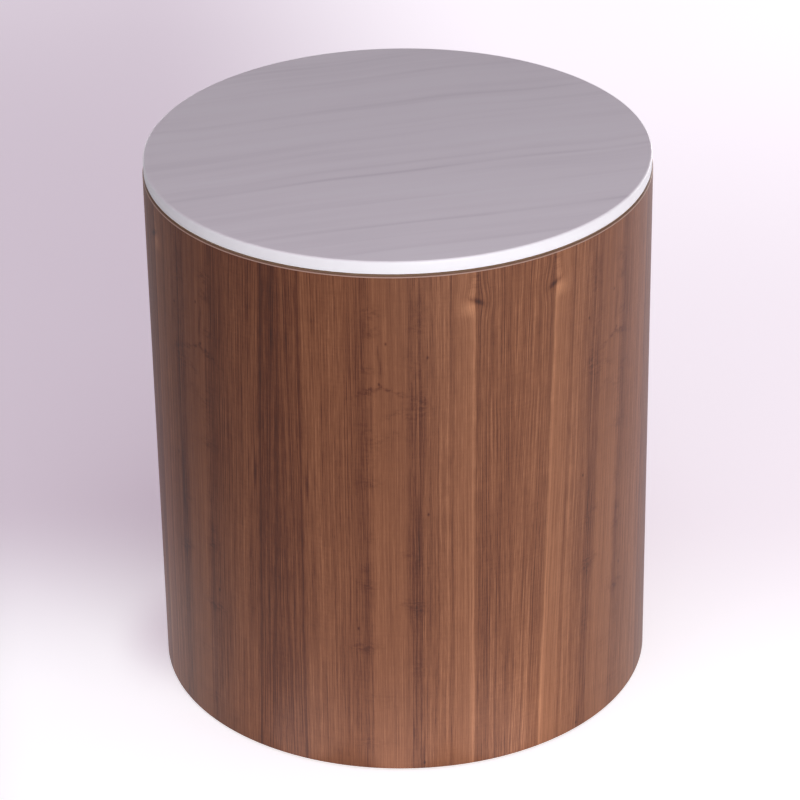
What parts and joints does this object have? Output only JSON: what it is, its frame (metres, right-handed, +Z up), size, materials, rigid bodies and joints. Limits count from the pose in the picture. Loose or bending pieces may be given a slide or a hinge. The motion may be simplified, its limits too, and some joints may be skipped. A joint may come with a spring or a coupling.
{
  "type": "drum side table",
  "caption": "Round drum side table: book-matched walnut veneered cylinder with a thin pale stone top on a shadow line, standing on recessed screw levelling feet.",
  "frame": {"origin": "on the floor, under the centre of the drum", "axes": "+Z up along the drum's axis, -Y towards the front leaf of the veneer, +X to the right of someone facing that leaf"},
  "size_m": [0.457, 0.457, 0.5165],
  "materials": {
    "honed_stone": "honed, faintly veined",
    "walnut_veneer": "satin lacquer",
    "birch_plywood": "sanded",
    "solid_birch": "planed",
    "clear_silicone": "translucent",
    "zinc_steel": "zinc plated",
    "black_nylon": "moulded"
  },
  "bodies": {
    "drum": {"stone_top": "honed_stone", "bond_pads": "clear_silicone", "top_deck": "birch_plywood", "front_half_shell": "birch_plywood", "rear_half_shell": "birch_plywood", "shell_spline_left": "birch_plywood", "shell_spline_right": "birch_plywood", "middle_rib": "birch_plywood", "base_ring": "birch_plywood", "leveller_nuts": "zinc_steel", "veneer_leaf_front": "walnut_veneer", "veneer_leaf_left": "walnut_veneer", "veneer_leaf_right": "walnut_veneer", "veneer_leaf_rear_left": "walnut_veneer", "veneer_leaf_rear_right": "walnut_veneer", "veneer_leaf_seam_left": "walnut_veneer", "veneer_leaf_seam_right": "walnut_veneer", "stile_front": "solid_birch", "stile_rear": "solid_birch", "stile_left": "solid_birch", "stile_right": "solid_birch"},
    "pad_front_left": {"leveller_pad_front_left": "black_nylon"},
    "stem_front_left": {"leveller_stem_front_left": "zinc_steel"},
    "pad_front_right": {"leveller_pad_front_right": "black_nylon"},
    "stem_front_right": {"leveller_stem_front_right": "zinc_steel"},
    "pad_rear_left": {"leveller_pad_rear_left": "black_nylon"},
    "stem_rear_left": {"leveller_stem_rear_left": "zinc_steel"},
    "pad_rear_right": {"leveller_pad_rear_right": "black_nylon"},
    "stem_rear_right": {"leveller_stem_rear_right": "zinc_steel"}
  },
  "joints": [
    {"name": "foot_slide_front_left", "type": "slide", "parent": "drum", "child": "pad_front_left", "axis": [0, 0, -1], "range_m": [0, 0.01]},
    {"name": "foot_turn_front_left", "type": "hinge", "parent": "pad_front_left", "child": "stem_front_left", "pos_m": [-0.12926, -0.12926, 0.02], "axis": [0, 0, -1], "range_deg": [0, 2880]},
    {"name": "foot_slide_front_right", "type": "slide", "parent": "drum", "child": "pad_front_right", "axis": [0, 0, -1], "range_m": [0, 0.01]},
    {"name": "foot_turn_front_right", "type": "hinge", "parent": "pad_front_right", "child": "stem_front_right", "pos_m": [0.12926, -0.12926, 0.02], "axis": [0, 0, -1], "range_deg": [0, 2880]},
    {"name": "foot_slide_rear_left", "type": "slide", "parent": "drum", "child": "pad_rear_left", "axis": [0, 0, -1], "range_m": [0, 0.01]},
    {"name": "foot_turn_rear_left", "type": "hinge", "parent": "pad_rear_left", "child": "stem_rear_left", "pos_m": [-0.12926, 0.12926, 0.02], "axis": [0, 0, -1], "range_deg": [0, 2880]},
    {"name": "foot_slide_rear_right", "type": "slide", "parent": "drum", "child": "pad_rear_right", "axis": [0, 0, -1], "range_m": [0, 0.01]},
    {"name": "foot_turn_rear_right", "type": "hinge", "parent": "pad_rear_right", "child": "stem_rear_right", "pos_m": [0.12926, 0.12926, 0.02], "axis": [0, 0, -1], "range_deg": [0, 2880]}
  ],
  "couplings": [
    {"joint": "foot_turn_front_left", "follows": "foot_slide_front_left", "rad_per_m": 5026.5},
    {"joint": "foot_turn_front_right", "follows": "foot_slide_front_right", "rad_per_m": 5026.5},
    {"joint": "foot_turn_rear_left", "follows": "foot_slide_rear_left", "rad_per_m": 5026.5},
    {"joint": "foot_turn_rear_right", "follows": "foot_slide_rear_right", "rad_per_m": 5026.5}
  ]
}
